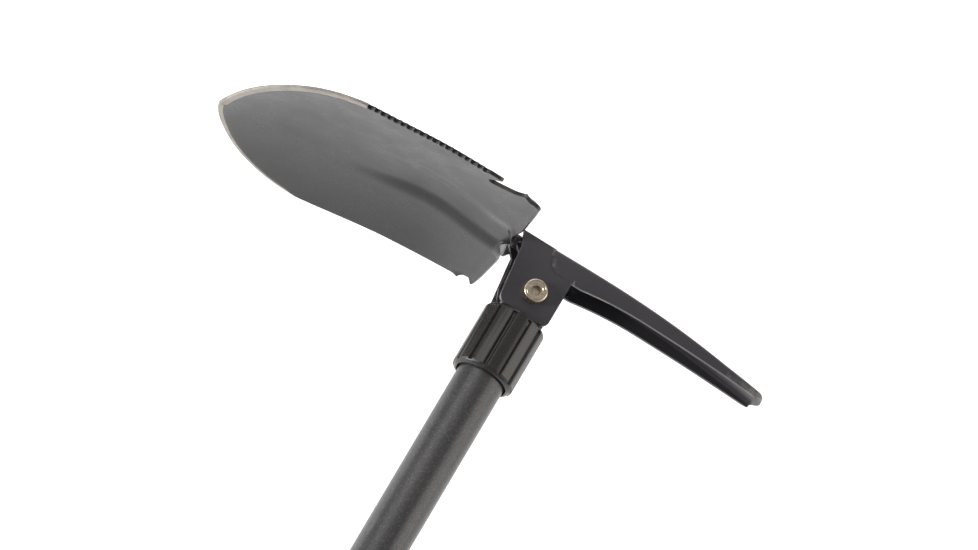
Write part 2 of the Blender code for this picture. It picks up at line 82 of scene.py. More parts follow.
PRESS_STEP = 0.3            # the channel stands out from the cheeks
WEB_INSET = 0.17            # what the tapering channel has lost in half width at the webs
GRIP_LENGTH = 108.0
GRIP_RADIUS = 15.0
CAP_FLANGE = 5.0
PIN_RADIUS = 1.5

# ---- the photograph's view ----
VIEW_RIGHT = Vector((0.842, 0.470, 0.268))
VIEW_UP = Vector((-0.534, 0.790, 0.297))
PIXELS_PER_MM = 2.33
IMAGE_WIDTH = 978
VIEW_DISTANCE = 8.0         # nearly parallel, and near enough for views from any side
VIEW_CENTRE = Vector((-0.0198, 0.2597, 0.0))
FLOOR_HEIGHT = -0.0640      # metres, just under the blade's lower edge
FLOOR_HALF = 6.0


# ---- mesh helpers ----
def linked(obj):
    bpy.context.scene.collection.objects.link(obj)
    obj.location = PIVOT
    return obj


def from_bmesh(name, bm):
    bmesh.ops.recalc_face_normals(bm, faces=bm.faces)
    mesh = bpy.data.meshes.new(name)
    bm.to_mesh(mesh)
    bm.free()
    return linked(bpy.data.objects.new(name, mesh))


def arc(centre, radius, start, end, steps):
    """Points on an arc, angles in degrees."""
    angles = [math.radians(start + (end - start) * i / steps) for i in range(steps + 1)]
    return [(centre[0] + radius * math.cos(a), centre[1] + radius * math.sin(a))
            for a in angles]


def smoothstep(value):
    value = min(1.0, max(0.0, value))
    return value * value * (3.0 - 2.0 * value)


def prism(name, points, low, high):
    """An outline in X and Y, raised between two heights along the bolt."""
    bm = bmesh.new()
    bm.faces.new([bm.verts.new((x * MM, y * MM, low * MM)) for x, y in points])
    raised = bmesh.ops.extrude_face_region(bm, geom=list(bm.faces))
    lifted = [item for item in raised["geom"] if isinstance(item, bmesh.types.BMVert)]
    bmesh.ops.translate(bm, verts=lifted, vec=(0.0, 0.0, (high - low) * MM))
    return from_bmesh(name, bm)


def lathe(name, profile, segments, axis="Y", ripple=None):
    """A closed profile of (radius, height) points turned about an axis.

    ripple(index, angle) may lower the radius of profile point index at an angle.
    """
    bm = bmesh.new()
    rings = []
    for index, (radius, height) in enumerate(profile):
        ring = []
        for step in range(segments):
            angle = 2 * math.pi * step / segments
            reach = radius - (ripple(index, angle) if ripple else 0.0)
            across, along = reach * math.sin(angle), reach * math.cos(angle)
            point = (across, height, along) if axis == "Y" else (across, along, height)
            ring.append(bm.verts.new(Vector(point) * MM))
        rings.append(ring)
    for first, second in zip(rings, rings[1:] + rings[:1]):
        for step in range(segments):
            after = (step + 1) % segments
            bm.faces.new((first[step], first[after], second[after], second[step]))
    bmesh.ops.remove_doubles(bm, verts=bm.verts, dist=0.000002)
    return from_bmesh(name, bm)


def rounded(points, radius, steps=3):
    """A closed profile with every marked corner, (a, b, share of radius), rounded."""
    result = []
    count = len(points)
    for i, point in enumerate(points):
        share = point[2] if len(point) > 2 else 0.0
        here = Vector(point[:2])
        if not share:
            result.append(tuple(here))
            continue
        before = Vector(points[i - 1][:2]) - here
        after = Vector(points[(i + 1) % count][:2]) - here
        size = min(radius * share, before.length * 0.49, after.length * 0.49)
        start, end = here + before.normalized() * size, here + after.normalized() * size
        for step in range(steps + 1):
            t = step / steps
            result.append(tuple(start * (1 - t) ** 2 + here * 2 * t * (1 - t) + end * t ** 2))
    return result


def boolean(obj, cutter, operation="DIFFERENCE"):
    step = obj.modifiers.new(operation.lower(), "BOOLEAN")
    step.operation = operation
    step.object = cutter
    step.solver = "EXACT"


def bevel(obj, width, segments=2, angle=40.0):
    step = obj.modifiers.new("bevel", "BEVEL")
    step.width = width * MM
    step.segments = segments
    step.limit_method = "ANGLE"
    step.angle_limit = math.radians(angle)
    step.use_clamp_overlap = True


def applied(obj, *cutters):
    """Turns the modifiers into mesh, and removes the cutters that they used."""
    graph = bpy.context.evaluated_depsgraph_get()
    mesh = bpy.data.meshes.new_from_object(obj.evaluated_get(graph))
    obj.modifiers.clear()
    obj.data = mesh
    for cutter in cutters:
        bpy.data.objects.remove(cutter, do_unlink=True)
    return obj


def cut(obj, *cutters, operation="DIFFERENCE"):
    for cutter in cutters:
        boolean(obj, cutter, operation)
    return applied(obj, *cutters)


def smooth(obj, angle=32.0):
    obj.data.shade_smooth()
    obj.data.set_sharp_from_angle(angle=math.radians(angle))
    shading = obj.modifiers.new("face shading", "WEIGHTED_NORMAL")
    shading.keep_sharp = True


def cylinder(name, radius, low, high, segments=64, axis="Z", height=0.0):
    """A solid cylinder along the bolt, or across the handle (axis X) at a height."""
    bm = bmesh.new()
    turn = Matrix.Rotation(math.pi / 2, 4, "Y") if axis == "X" else Matrix()
    middle = (low + high) / 2
    spot = (middle, height, 0.0) if axis == "X" else (0.0, height, middle)
    bmesh.ops.create_cone(bm, cap_ends=True, segments=segments, radius1=radius * MM,
                          radius2=radius * MM, depth=(high - low) * MM,
                          matrix=Matrix.Translation(Vector(spot) * MM) @ turn)
    return from_bmesh(name, bm)


def refined(obj, longest=3.0):
    """Splits long edges, so that wear along an edge doesn't spread over a flat face."""
    bm = bmesh.new()
    bm.from_mesh(obj.data)
    for _ in range(5):
        bmesh.ops.triangulate(bm, faces=[f for f in bm.faces if len(f.verts) > 3])
        long_edges = [e for e in bm.edges if e.calc_length() > longest * MM]
        if not long_edges:
            break
        bmesh.ops.subdivide_edges(bm, edges=long_edges, cuts=1)
    bmesh.ops.triangulate(bm, faces=[f for f in bm.faces if len(f.verts) > 3])
    bm.to_mesh(obj.data)
    bm.free()
    return obj


def finish_piece(obj, body, node, material=None, angle=32.0):
    """Shades a piece, and ties it to its body, CAD node and material slot."""
    smooth(obj, angle)
    if material:
        obj.data.materials.clear()
        obj.data.materials.append(material)
    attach(obj, body)
    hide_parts(node)


# ---- material helpers ----
class Shader:
    """A material's node tree, with short ways to add nodes to it."""

    def __init__(self, name):
        self.material = bpy.data.materials.new(name)
        self.material.use_nodes = True
        self.tree = self.material.node_tree
        self.surface = self.tree.nodes["Principled BSDF"]
        self.place = self.add("ShaderNodeTexCoord").outputs["Object"]

    def add(self, kind, inputs=None, **settings):
        node = self.tree.nodes.new(kind)
        for key, value in settings.items():
            setattr(node, key, value)
        for key, value in (inputs or {}).items():
            if isinstance(value, bpy.types.NodeSocket):
                self.tree.links.new(value, node.inputs[key])
            else:
                node.inputs[key].default_value = value
        return node

    def noise(self, size, detail=3.0, stretch=None, roughness=0.5):
        """Noise with features of a size in millimetres, stretched along an axis."""
        place = self.place
        if stretch:
            place = self.add("ShaderNodeVectorMath", {0: place, 1: stretch},
                             operation="MULTIPLY").outputs[0]
        noise = self.add("ShaderNodeTexNoise", {"Vector": place, "Scale": 1.0 / (size * MM),
                                                "Detail": detail, "Roughness": roughness})
        return noise.outputs["Fac"]

    def ramp(self, value, low, high, out_low=0.0, out_high=1.0):
        """Maps low..high of a value to out_low..out_high."""
        mapped = self.add("ShaderNodeMapRange", {"Value": value, "From Min": low,
                                                 "From Max": high, "To Min": out_low,
                                                 "To Max": out_high})
        return mapped.outputs["Result"]

    def blend(self, factor, first, second):
        node = self.add("ShaderNodeMix", data_type="RGBA")
        self.link(factor, node.inputs["Factor"])
        for socket, color in ((node.inputs[6], first), (node.inputs[7], second)):
            if isinstance(color, bpy.types.NodeSocket):
                self.link(color, socket)
            else:
                socket.default_value = (*color, 1.0)
        return node.outputs[2]

    def link(self, output, target):
        if isinstance(output, bpy.types.NodeSocket):
            self.tree.links.new(output, target)
        else:
            target.default_value = output

    def edges(self, low=0.53, high=0.60):
        """1 on outward edges of the mesh and 0 elsewhere."""
        pointiness = self.add("ShaderNodeNewGeometry").outputs["Pointiness"]
        return self.ramp(pointiness, low, high)

    def product(self, first, second):
        node = self.add("ShaderNodeMath", {0: first, 1: second}, operation="MULTIPLY")
        return node.outputs[0]

    def bump(self, height, strength, depth, below=None):
        """A bump of a depth in millimetres, on top of another one."""
        inputs = {"Height": height, "Strength": strength, "Distance": depth * MM}
        if below:
            inputs["Normal"] = below
        return self.add("ShaderNodeBump", inputs).outputs["Normal"]

    def set(self, **values):
        """Sets the surface's sockets: set(Base_Color=..., Roughness=...)."""
        for key, value in values.items():
            socket = self.surface.inputs[key.replace("_", " ")]
            if isinstance(value, tuple):
                value = (*value, 1.0)
            self.link(value, socket)
        return self.material


def paint(name, dark, light, roughness, grain=0.35, grain_depth=0.012, ior=1.4):
    """Baked coating on steel: fine orange peel, cloudy gloss, rubbed edges."""
    shader = Shader(name)
    clouds = shader.noise(38.0, 4.0)
    speckle = shader.noise(0.9, 2.0)
    colour = shader.blend(shader.ramp(clouds, 0.35, 0.65), dark, light)
    flecks = shader.ramp(speckle, 0.62, 0.80, 0.0, 0.18)
    colour = shader.blend(flecks, colour, tuple(c * 2.2 for c in light))
    scuffs = shader.ramp(shader.noise(6.0, 5.0), 0.45, 0.62)
    wear = shader.product(shader.edges(), shader.ramp(scuffs, 0.0, 1.0, 0.25, 0.8))
    colour = shader.blend(wear, colour, (0.24, 0.22, 0.21))
    gloss = shader.ramp(shader.noise(14.0, 5.0), 0.3, 0.7, roughness - 0.05,
                        roughness + 0.06)
    peel = shader.bump(shader.noise(grain, 2.0), 0.5, grain_depth)
    waves = shader.bump(shader.noise(9.0, 2.0), 0.25, 0.05, peel)
    return shader.set(Base_Color=colour, Roughness=gloss, Normal=waves, Metallic=0.0,
                      IOR=ior)


def ground_steel():
    """Bare ground steel with fine scratches across the edge."""
    shader = Shader("ground_steel")
    lines = shader.noise(0.35, 3.0, (0.12, 1.0, 1.0))
    tone = shader.blend(shader.ramp(lines, 0.3, 0.7), (0.22, 0.20, 0.18),
                        (0.38, 0.35, 0.32))
    tone = shader.blend(shader.ramp(shader.noise(7.0, 4.0), 0.45, 0.7, 0.0, 0.5), tone,
                        (0.18, 0.155, 0.13))
    return shader.set(Base_Color=tone, Metallic=0.85,
                      Roughness=shader.ramp(lines, 0.3, 0.7, 0.32, 0.5),
                      Normal=shader.bump(lines, 0.5, 0.02))


def bare_metal(name, colour, stain, roughness, grain=0.5, recess=0.0):
    """Plated steel: cloudy plating, fine grain, polished edges, painted shade in a recess."""
    shader = Shader(name)
    clouds = shader.ramp(shader.noise(3.0, 4.0), 0.35, 0.7)
    tone = shader.blend(clouds, colour, stain)
    tone = shader.blend(shader.edges(0.52, 0.62), tone, tuple(min(1, c * 1.35) for c in colour))
    if recess:
        flat = shader.add("ShaderNodeVectorMath", {0: shader.place, 1: (1.0, 1.0, 0.0)},
                          operation="MULTIPLY").outputs[0]
        reach = shader.add("ShaderNodeVectorMath", {0: flat}, operation="LENGTH")
        # Inside the recess radius the tone turns dark brown: painted shade in the socket.
        socket_shade = shader.ramp(reach.outputs["Value"], recess * MM, (recess + 0.15) * MM,
                            0.3, 0.0)
        tone = shader.blend(socket_shade, tone, (0.13, 0.095, 0.065))
    fine = shader.noise(grain, 3.0)
    return shader.set(Base_Color=tone, Metallic=1.0,
                      Roughness=shader.ramp(fine, 0.3, 0.7, roughness, roughness + 0.14),
                      Normal=shader.bump(fine, 0.2, 0.006))


def tube_finish():
    """Grainy grey coating on the tube."""
    shader = Shader("tube_coat")
    grain = shader.noise(0.75, 2.0, roughness=0.55)
    colour = shader.blend(shader.ramp(shader.noise(30.0, 3.0), 0.35, 0.65),
                          (0.028, 0.028, 0.030), (0.036, 0.035, 0.036))
    colour = shader.blend(shader.ramp(grain, 0.5, 0.75, 0.0, 0.55), colour,
                          (0.12, 0.115, 0.118))
    scuffs = shader.ramp(shader.noise(4.0, 6.0, (1.0, 0.2, 1.0)), 0.66, 0.78, 0.0, 0.35)
    colour = shader.blend(scuffs, colour, (0.16, 0.15, 0.145))
    return shader.set(Base_Color=colour, Metallic=0.0, IOR=1.55,
                      Roughness=shader.ramp(grain, 0.3, 0.7, 0.38, 0.28),
                      Normal=shader.bump(grain, 0.8, 0.06))


def plastic(name, colour, roughness, grain=0.3, depth=0.01):
    """Moulded plastic or rubber with a fine mould texture and paler rubbed edges."""
    shader = Shader(name)
    clouds = shader.ramp(shader.noise(12.0, 3.0), 0.35, 0.65)
    tone = shader.blend(clouds, colour, tuple(c * 1.3 for c in colour))
    rubbed = shader.product(shader.edges(), shader.ramp(shader.noise(2.5, 4.0), 0.4, 0.6,
                                                        0.15, 0.6))
    tone = shader.blend(rubbed, tone, tuple(c * 3.0 + 0.02 for c in colour))
    fine = shader.noise(grain, 3.0)
    return shader.set(Base_Color=tone, Metallic=0.0, IOR=1.5,
                      Roughness=shader.ramp(fine, 0.3, 0.7, roughness - 0.04,
                                            roughness + 0.08),
                      Normal=shader.bump(fine, 0.5, depth))


# ---- blade ----
def blade_half_width(reach):
    """Half width of the blade at a distance from the pivot."""
    if reach <= GROUND_START:
        widening = (WIDEST_HALF - SHOULDER_HALF) / (GROUND_START - SHOULDER)
        return SHOULDER_HALF + widening * (reach - SHOULDER)
    share = min(1.0, (reach - GROUND_START) / (BLADE_TIP - GROUND_START))
    return WIDEST_HALF * (1.0 - share * share) ** 0.69


def edge_height(reach):
    """Height of the blade's long edge above the pivot plane."""
    drop = 0.0006 * reach * reach + 0.95 * smoothstep((reach - 62.0) / 38.0)
    rise = 0.55 * smoothstep((reach - 108.0) / 24.0)
    tip_start = 146.0
    curl = 1.9 * (max(0.0, reach - tip_start) / (BLADE_TIP - tip_start)) ** 2
    return 16.9 - drop + rise - curl


def blade_height(reach, side):
    """Height of the sheet's middle above the pivot plane, along the handle."""
    half = blade_half_width(max(reach, SHOULDER)) + 0.001
    away = abs(side)
    dish = 5.3 * (1.0 - (reach / BLADE_TIP) ** 6) - 4.2 * smoothstep((60.0 - reach) / 40.0)
    bulge = 1.0 - min(1.0, away / half) ** 2
    rise = channel_rise(reach, away)
    if side > 0:
        rise = (0.65 * channel_rise(reach, 0.0) + 0.35 * rise) * bulge
    return edge_height(reach) + dish * bulge + rise - LIP_SLOPE * lip_depth(reach, away)


def channel_rise(reach, away):
    """Rise of the middle channel: flat floor, walls steepest at their foot."""
    floor_half, foot, outside = 7.6, 10.4, 15.6
    spread = 0.95 + 0.05 * smoothstep((reach - 20.0) / 30.0)
    spread += 0.25 * smoothstep((reach - 50.0) / 40.0)
    across = away / spread
    if across < floor_half:
        share = 0.0
    elif across < foot:
        share = (across - floor_half) ** 2 / ((foot - floor_half) * (outside - floor_half))
    else:
        rest = max(0.0, outside - across)
        share = 1.0 - rest ** 2 / ((outside - foot) * (outside - floor_half))
    return 2.1 * smoothstep((100.0 - reach) / 38.0) * (1.0 - share)


def lip_depth(reach, away):
    """How far a point lies out past the fold of the turned-down shoulder lip."""
    corner_side = SHOULDER_HALF - CORNER_RADIUS
    if away > corner_side:
        inner = SHOULDER - LIP_FOLD
        past = math.hypot(max(0.0, SHOULDER - reach), away - corner_side) - inner
        past *= smoothstep((30.0 - reach) / 6.0)
    else:
        past = LIP_FOLD - reach
    flare = 1.0 + 1.5 * smoothstep((16.0 - away) / 8.0)
    return max(0.0, past) * smoothstep((away - 5.5) / 3.0) * flare


def sheet_point(reach, side, offset):
    """A point of the sheet, offset along its normal; positive is the rounded-out side."""
    step = 0.05
    slope_reach = (blade_height(reach + step, side) - blade_height(reach - step, side))
    slope_side = (blade_height(reach, side + step) - blade_height(reach, side - step))
    normal = Vector((slope_reach, 2 * step, -slope_side)).normalized()
    return (Vector((-reach, blade_height(reach, side), side)) + normal * offset) * MM


def densified(points, spacing):
    """The same open line with points no further apart than a spacing."""
    result = [points[0]]
    for start, end in zip(points[:-1], points[1:]):
        steps = max(1, math.ceil(math.dist(start, end) / spacing))
        for i in range(1, steps + 1):
            t = i / steps
            result.append((start[0] + (end[0] - start[0]) * t,
                           start[1] + (end[1] - start[1]) * t))
    return result


def curve_side(start, end, steps, ease):
    """Points on the blade's curved edge between two reaches."""
    line = []
    for i in range(steps + 1):
        reach = start + (end - start) * (1 - (1 - i / steps) ** ease)
        line.append((reach, blade_half_width(reach)))
    return line


def saw_line():
    """The saw edge as (reach, side, depth share) with long and short teeth in turn."""
    pairs = 10
    pitch = (SAW_END - SAW_START) / (pairs - 0.5)
    points = []
    reach = SAW_START
    for i in range(2 * pairs - 1):
        width = pitch * (0.56 if i % 2 == 0 else 0.44)
        for t in (0.06, 0.14, 0.26, 0.4, 0.5, 0.6, 0.74, 0.86, 0.94):
            at = reach + width * t
            depth = math.sin(math.pi * min(1.0, max(0.0, (t - 0.06) / 0.88))) ** 0.6
            points.append((at, blade_half_width(at), depth))
        reach += width
    return points


def blade_outline():
    """The sheet's outline as (reach, side, saw depth share, ground share) points."""
    fillet = arc((14.8, 11.6), 5.0, -90.0, 0.0, 8) + [(19.2, 14.2), (18.7, 17.0)]
    corner = arc((SHOULDER, SHOULDER_HALF - CORNER_RADIUS), CORNER_RADIUS, 172.0, 90.0, 7)
    near = [(13.0, 6.6)] + fillet + [(18.5, 21.0), (18.7, 31.0), (18.9, 41.0)] + corner
    hook = rounded([(27.0, 56.2, 1), (28.6, 53.6, 1), (31.6, 50.6, 1), (36.0, 48.8, 1),
                    (42.4, 46.1, 1.4), (44.2, 46.9, 1), (44.6, 49.2, 1), (39.9, 56.0, 1),
                    (39.6, 57.2)], 1.6)
    near = densified(near + hook + [(SAW_START, blade_half_width(SAW_START))], 1.1)
    outline = [(reach, side, 0.0, 0.0) for reach, side in near]
    outline += [(reach, side, depth, 0.0) for reach, side, depth in saw_line()]
    top = curve_side(SAW_END + 0.3, BLADE_TIP, 58, 1.9)
    outline += [(reach, side, 0.0, 1.0) for reach, side in top]
    under = list(reversed(curve_side(GROUND_START, BLADE_TIP, 58, 1.9)))[1:]
    outline += [(reach, -side, 0.0, smoothstep((reach - 104.0) / 8.0))
                for reach, side in under]
    notch = arc((23.4, -56.0), 3.4, 0.0, -214.0 + 360.0, 10)
    far_corner = list(reversed([(reach, -side) for reach, side in corner]))
    far_corner = [p for p in far_corner if math.dist(p, (23.4, -56.0)) > 3.5]
    far = list(reversed(curve_side(27.2, GROUND_START, 24, 1.0)))
    far = [(reach, -side) for reach, side in far[1:]] + notch + far_corner
    far += [(18.9, -41.0), (18.7, -31.0), (18.5, -21.0)]
    far += list(reversed([(reach, -side) for reach, side in fillet])) + [(13.0, -6.6)]
    outline += [(reach, side, 0.0, 0.0) for reach, side in densified(far, 1.1)[1:]]
    outline += [(13.0, side, 0.0, 0.0) for side in (-4.4, -2.2, 0.0, 2.2, 4.4)]
    return outline


def inset(loop, amounts):
    """A closed loop of points moved inwards, each by its own amount."""
    result = []
    count = len(loop)
    for i, amount in enumerate(amounts):
        before, here, after = (Vector(loop[k][:2]) for k in ((i - 1) % count, i,
                                                             (i + 1) % count))
        first, second = (here - before).normalized(), (after - here).normalized()
        normals = [Vector((-d.y, d.x)) for d in (first, second)]
        mean = (normals[0] + normals[1]).normalized()
        stretch = 1.0 / max(0.6, mean.dot(normals[0]))
        result.append(here + mean * amount * stretch)
    return result


def signed_area(loop):
    return sum(a[0] * b[1] - b[0] * a[1] for a, b in zip(loop, loop[1:] + loop[:1])) / 2


def inner_points(loop, spacing, margin):
    """Grid points inside a loop that stay a margin away from it."""
    tree = KDTree(len(loop))
    for i, point in enumerate(loop):
        tree.insert((point[0], point[1], 0.0), i)
    tree.balance()
    reaches = [p[0] for p in loop]
    sides = [p[1] for p in loop]
    found = []
    reach = min(reaches)
    while reach < max(reaches):
        crossings = []
        for a, b in zip(loop, loop[1:] + loop[:1]):
            if (a[0] > reach) != (b[0] > reach):
                crossings.append(a[1] + (b[1] - a[1]) * (reach - a[0]) / (b[0] - a[0]))
        crossings.sort()
        side = spacing * math.floor(min(sides) / spacing)
        while side < max(sides):
            inside = sum(1 for c in crossings if c < side) % 2
            if inside and tree.find((reach, side, 0.0))[2] > margin:
                found.append((reach, side))
            side += spacing
        reach += spacing
    return found


def blade_sheet():
    """The dished sheet with rounded rims, a ground edge and bevelled saw teeth."""
    outline = blade_outline()
    if signed_area(outline) < 0:
        outline.reverse()
    half = BLADE_SHEET / 2
    round_rim = 0.22
    ground_rest = 1.3           # sheet left at the ground edge
    bm = bmesh.new()
    walls = {}
    widths = [2.9 if p[1] > 0 else 1.7 for p in outline]     # of the ground strip
    for face, sign in (("out", 1.0), ("in", -1.0)):
        ground = [0.0 if face == "out" else p[3] for p in outline]
        saw_depth = 1.0 if face == "out" else 2.1
        edge = inset(outline, [p[2] * saw_depth for p in outline])
        edge = [(p[0], p[1]) for p in edge]
        soft = inset(edge, [0.06 + 0.4 * w * g for g, w in zip(ground, widths)])
        rim = inset(edge, [round_rim + (w - round_rim) * g for g, w in zip(ground, widths)])
        loops = []
        for loop, drop in ((edge, 0.24), (soft, 0.07), (rim, 0.0)):
            row = []
            for point, g in zip(loop, ground):
                level = half - drop * (1 - g)
                if loop is edge:
                    level += g * (ground_rest - 2 * half)
                elif loop is soft:
                    level += 0.6 * g * (ground_rest - 2 * half)
                row.append(bm.verts.new(sheet_point(point[0], point[1], sign * level)))
            loops.append(row)
        walls[face] = loops[0]
        count = len(outline)
        for outer, inner in ((loops[0], loops[1]), (loops[1], loops[2])):
            for i in range(count):
                k = (i + 1) % count
                strip = bm.faces.new((outer[i], outer[k], inner[k], inner[i]))
                strip.material_index = 1 if ground[i] + ground[k] > 0.8 else 0
                # Slot 2 is the darker paint on the saw teeth: painted shade.
                if outline[i][2] + outline[k][2] > 0:
                    strip.material_index = 2
        flat = [tuple(p) for p in rim]
        grid = inner_points(flat, 2.0, 1.0)
        result = delaunay_2d_cdt([Vector(p) for p in flat + grid], [],
                                 [list(range(count))], 1, 1e-6)
        verts = []
        for point, origins in zip(result[0], result[3]):
            first = min(origins) if origins else -1
            if 0 <= first < count:
                verts.append(loops[2][first])
            else:
                verts.append(bm.verts.new(sheet_point(point.x, point.y, sign * half)))
        for triangle in result[2]:
            corners = [verts[i] for i in triangle]
            if len(set(corners)) == 3:
                bm.faces.new(corners)
    count = len(outline)
    for i in range(count):
        k = (i + 1) % count
        wall = bm.faces.new((walls["out"][i], walls["out"][k], walls["in"][k],
                             walls["in"][i]))
        wall.material_index = 2 if outline[i][2] + outline[k][2] > 0 else 0
        if outline[i][3] + outline[k][3] > 0.8:
            wall.material_index = 1
    return from_bmesh("blade_visual", bm)


def blade_neck():
    """The folded channel at the blade's root: a web with a rounded ear on each side."""
    outer, inner, top = BLADE_EAR[1], BLADE_EAR[0], 21.15
    section = [(-outer, -14.0)] + arc((-outer + 2.4, top - 2.4), 2.4, 180.0, 90.0, 6)
    section += arc((outer - 2.4, top - 2.4), 2.4, 90.0, 0.0, 6) + [(outer, -14.0)]
    section += [(inner, -14.0)] + arc((inner - 0.8, top - 2.6), 0.8, 0.0, 90.0, 3)
    section += arc((-inner + 0.8, top - 2.6), 0.8, 90.0, 180.0, 3) + [(-inner, -14.0)]
    bm = bmesh.new()
    bm.faces.new([bm.verts.new((-18.6 * MM, y * MM, z * MM)) for z, y in section])
    raised = bmesh.ops.extrude_face_region(bm, geom=list(bm.faces))
    lifted = [item for item in raised["geom"] if isinstance(item, bmesh.types.BMVert)]
    bmesh.ops.translate(bm, verts=lifted, vec=(34.0 * MM, 0.0, 0.0))
    channel = from_bmesh("blade_neck", bm)
    outline = [(-18.2, 22.0), (-18.2, 18.4), (-16.6, 16.0), (-14.3, 13.4), (-13.6, 9.6),
               (-13.2, 4.0), (-12.9, -1.0)]
    outline += arc((0.0, 0.0), 12.6, 192.0, 330.0, 40)
    outline += arc((-1.0, 0.0), 11.6, 0.0, 62.0, 18)
    outline += [(-7.5, 17.6), (-11.0, 20.6), (-11.4, 22.0)]
    return cut(channel, prism("ear_outline", outline, -9.0, 9.0), operation="INTERSECT")


def make_blade(finish, ground, tooth_shade_paint):
    sheet = blade_sheet()
    # The third slot is a darker copy of the blade paint on the saw teeth's cut faces: painted
    # shade.
    for material in (finish, ground, tooth_shade_paint):
        sheet.data.materials.append(material)
    neck = blade_neck()
    bevel(neck, 0.3)
    sheet = cut(sheet, applied(neck), operation="UNION")
    sheet = cut(sheet, cylinder("blade_bore", EAR_BORE, -12.0, 12.0))
    finish_piece(sheet, "blade_head", "blade")


# ---- pick ----
def pick_section(reach):
    """Half width, top height, wall height at a distance along the pick."""
    part = max(0.0, reach) / PICK_LENGTH
    half = PICK_EAR[1] + PRESS_STEP - 1.5 * part
    top = 23.3 + math.sin(math.pi * min(1.0, part * 1.25)) - 5.0 * part ** 3.3
    foot = 16.1 - 4.1 * (max(0.0, 50.0 - reach) / 38.0) ** 2
    foot -= 0.6 * (max(0.0, reach - 65.0) / 30.0) ** 2
    wall = max(PICK_SHEET + 0.3, top - max(foot, COLLAR_CLEAR_FOOT))
    return half, top, wall


def pick_channel():
    """The tapering channel, open towards the handle, with a rounded tip."""
    bm = bmesh.new()
    grid = []
    stations = [-4.0 + (PICK_LENGTH + 6.0) * i / 72 for i in range(73)]
    for reach in stations:
        half, top, wall = pick_section(reach)
        bend = min(2.0, wall * 0.8)
        flat = half - PICK_SHEET / 2
        crown = top - PICK_SHEET / 2
        low = crown - wall + PICK_SHEET / 2
        corner = arc((flat - bend, crown - bend), bend, 0.0, 90.0, 8)
        straight = [(flat, low + (corner[0][1] - low) * i / 3) for i in range(3)]
        side = straight + corner + [((flat - bend) * 0.66, crown), ((flat - bend) * 0.33, crown)]
        full = side + [(0.0, crown)] + [(-z, y) for z, y in reversed(side)]
        grid.append([bm.verts.new((reach * MM, y * MM, z * MM)) for z, y in full])
    for first, second in zip(grid[:-1], grid[1:]):
        for i in range(len(first) - 1):
            bm.faces.new((first[i], first[i + 1], second[i + 1], second[i]))
    channel = from_bmesh("pick_visual", bm)
    shell = channel.modifiers.new("sheet", "SOLIDIFY")
    shell.thickness = PICK_SHEET * MM
    shell.offset = 0.0
    bevel(channel, 0.6, 3, 60.0)
    applied(channel)
    return cut(channel, tip_plan(), operation="INTERSECT")


def tip_plan():
    """A block around the channel whose far end is round, seen from above."""
    radius = 8.0
    plan = [(-20.0, 20.0), (-20.0, -20.0), (60.0, -20.0), (90.0, -radius - 0.4)]
    plan += arc((PICK_LENGTH - radius, 0.0), radius, -90.0, 90.0, 28)
    plan += [(90.0, radius + 0.4), (60.0, 20.0)]
    bm = bmesh.new()
    bm.faces.new([bm.verts.new((x * MM, 0.0, z * MM)) for x, z in plan])
    raised = bmesh.ops.extrude_face_region(bm, geom=list(bm.faces))
    lifted = [item for item in raised["geom"] if isinstance(item, bmesh.types.BMVert)]
    bmesh.ops.translate(bm, verts=lifted, vec=(0.0, 40.0 * MM, 0.0))
    return from_bmesh("tip_plan", bm)


def pick_cheeks(outline, half):
    """Two plates of one outline, joined by nothing but the channel."""
    plates = prism("cheeks", outline, -half, half)
    bevel(plates, 0.3, 3, 60.0)
    applied(plates)
    gap = [(-30.0, 40.0), (-30.0, -30.0), (30.0, -30.0), (30.0, 40.0)]
    return cut(plates, prism("cheek_gap", gap, -PICK_EAR[0], PICK_EAR[0]))


def make_pick(finish):
    outline = [(-17.5, 22.6), (-14.8, 15.6), (-14.2, 9.8), (-13.5, 4.0), (-12.9, -2.0),
               (-12.2, -8.0)]
    outline += arc((-8.8, -8.0), 3.3, 190.0, 270.0, 8)
    outline += arc((8.6, -7.8), 3.6, 270.0, 360.0, 8) + [(12.2, 11.3)]
    fillet = arc((15.2, 11.3), 3.0, 180.0, 110.0, 6) + [(18.0, 16.0), (14.0, 20.0)]
    cheeks = pick_cheeks(outline + fillet + [(-0.9, 20.0), (-0.9, 22.8)], PICK_EAR[1])
    # small webs round off the corner between each cheek and its wall, flush with the wall
    webs = pick_cheeks([(11.0, 15.1), (11.0, 9.0), (12.2, 9.0)] + fillet[:7] + [(14.6, 15.1)],
                       PICK_EAR[1] + PRESS_STEP - WEB_INSET)
    # the channel is pressed out of the cheeks along a quarter-round line
    press_line = [(12.6, 12.0), (7.0, 12.5)] + arc((5.8, 19.2), 6.7, 262.0, 180.0, 9)
    press_line += [(-0.9, 30.0), (-20.0, 30.0), (-20.0, 0.0), (12.6, 0.0)]
    channel = cut(pick_channel(), webs, operation="UNION")
    channel = cut(channel, prism("press_line", press_line, -20.0, 20.0))
    channel = cut(channel, cheeks, operation="UNION")
    channel = cut(channel, cylinder("pick_bore", PICK_BORE, -14.0, 14.0))
    finish_piece(refined(channel), "pick_head", "pick", finish, 14.0)


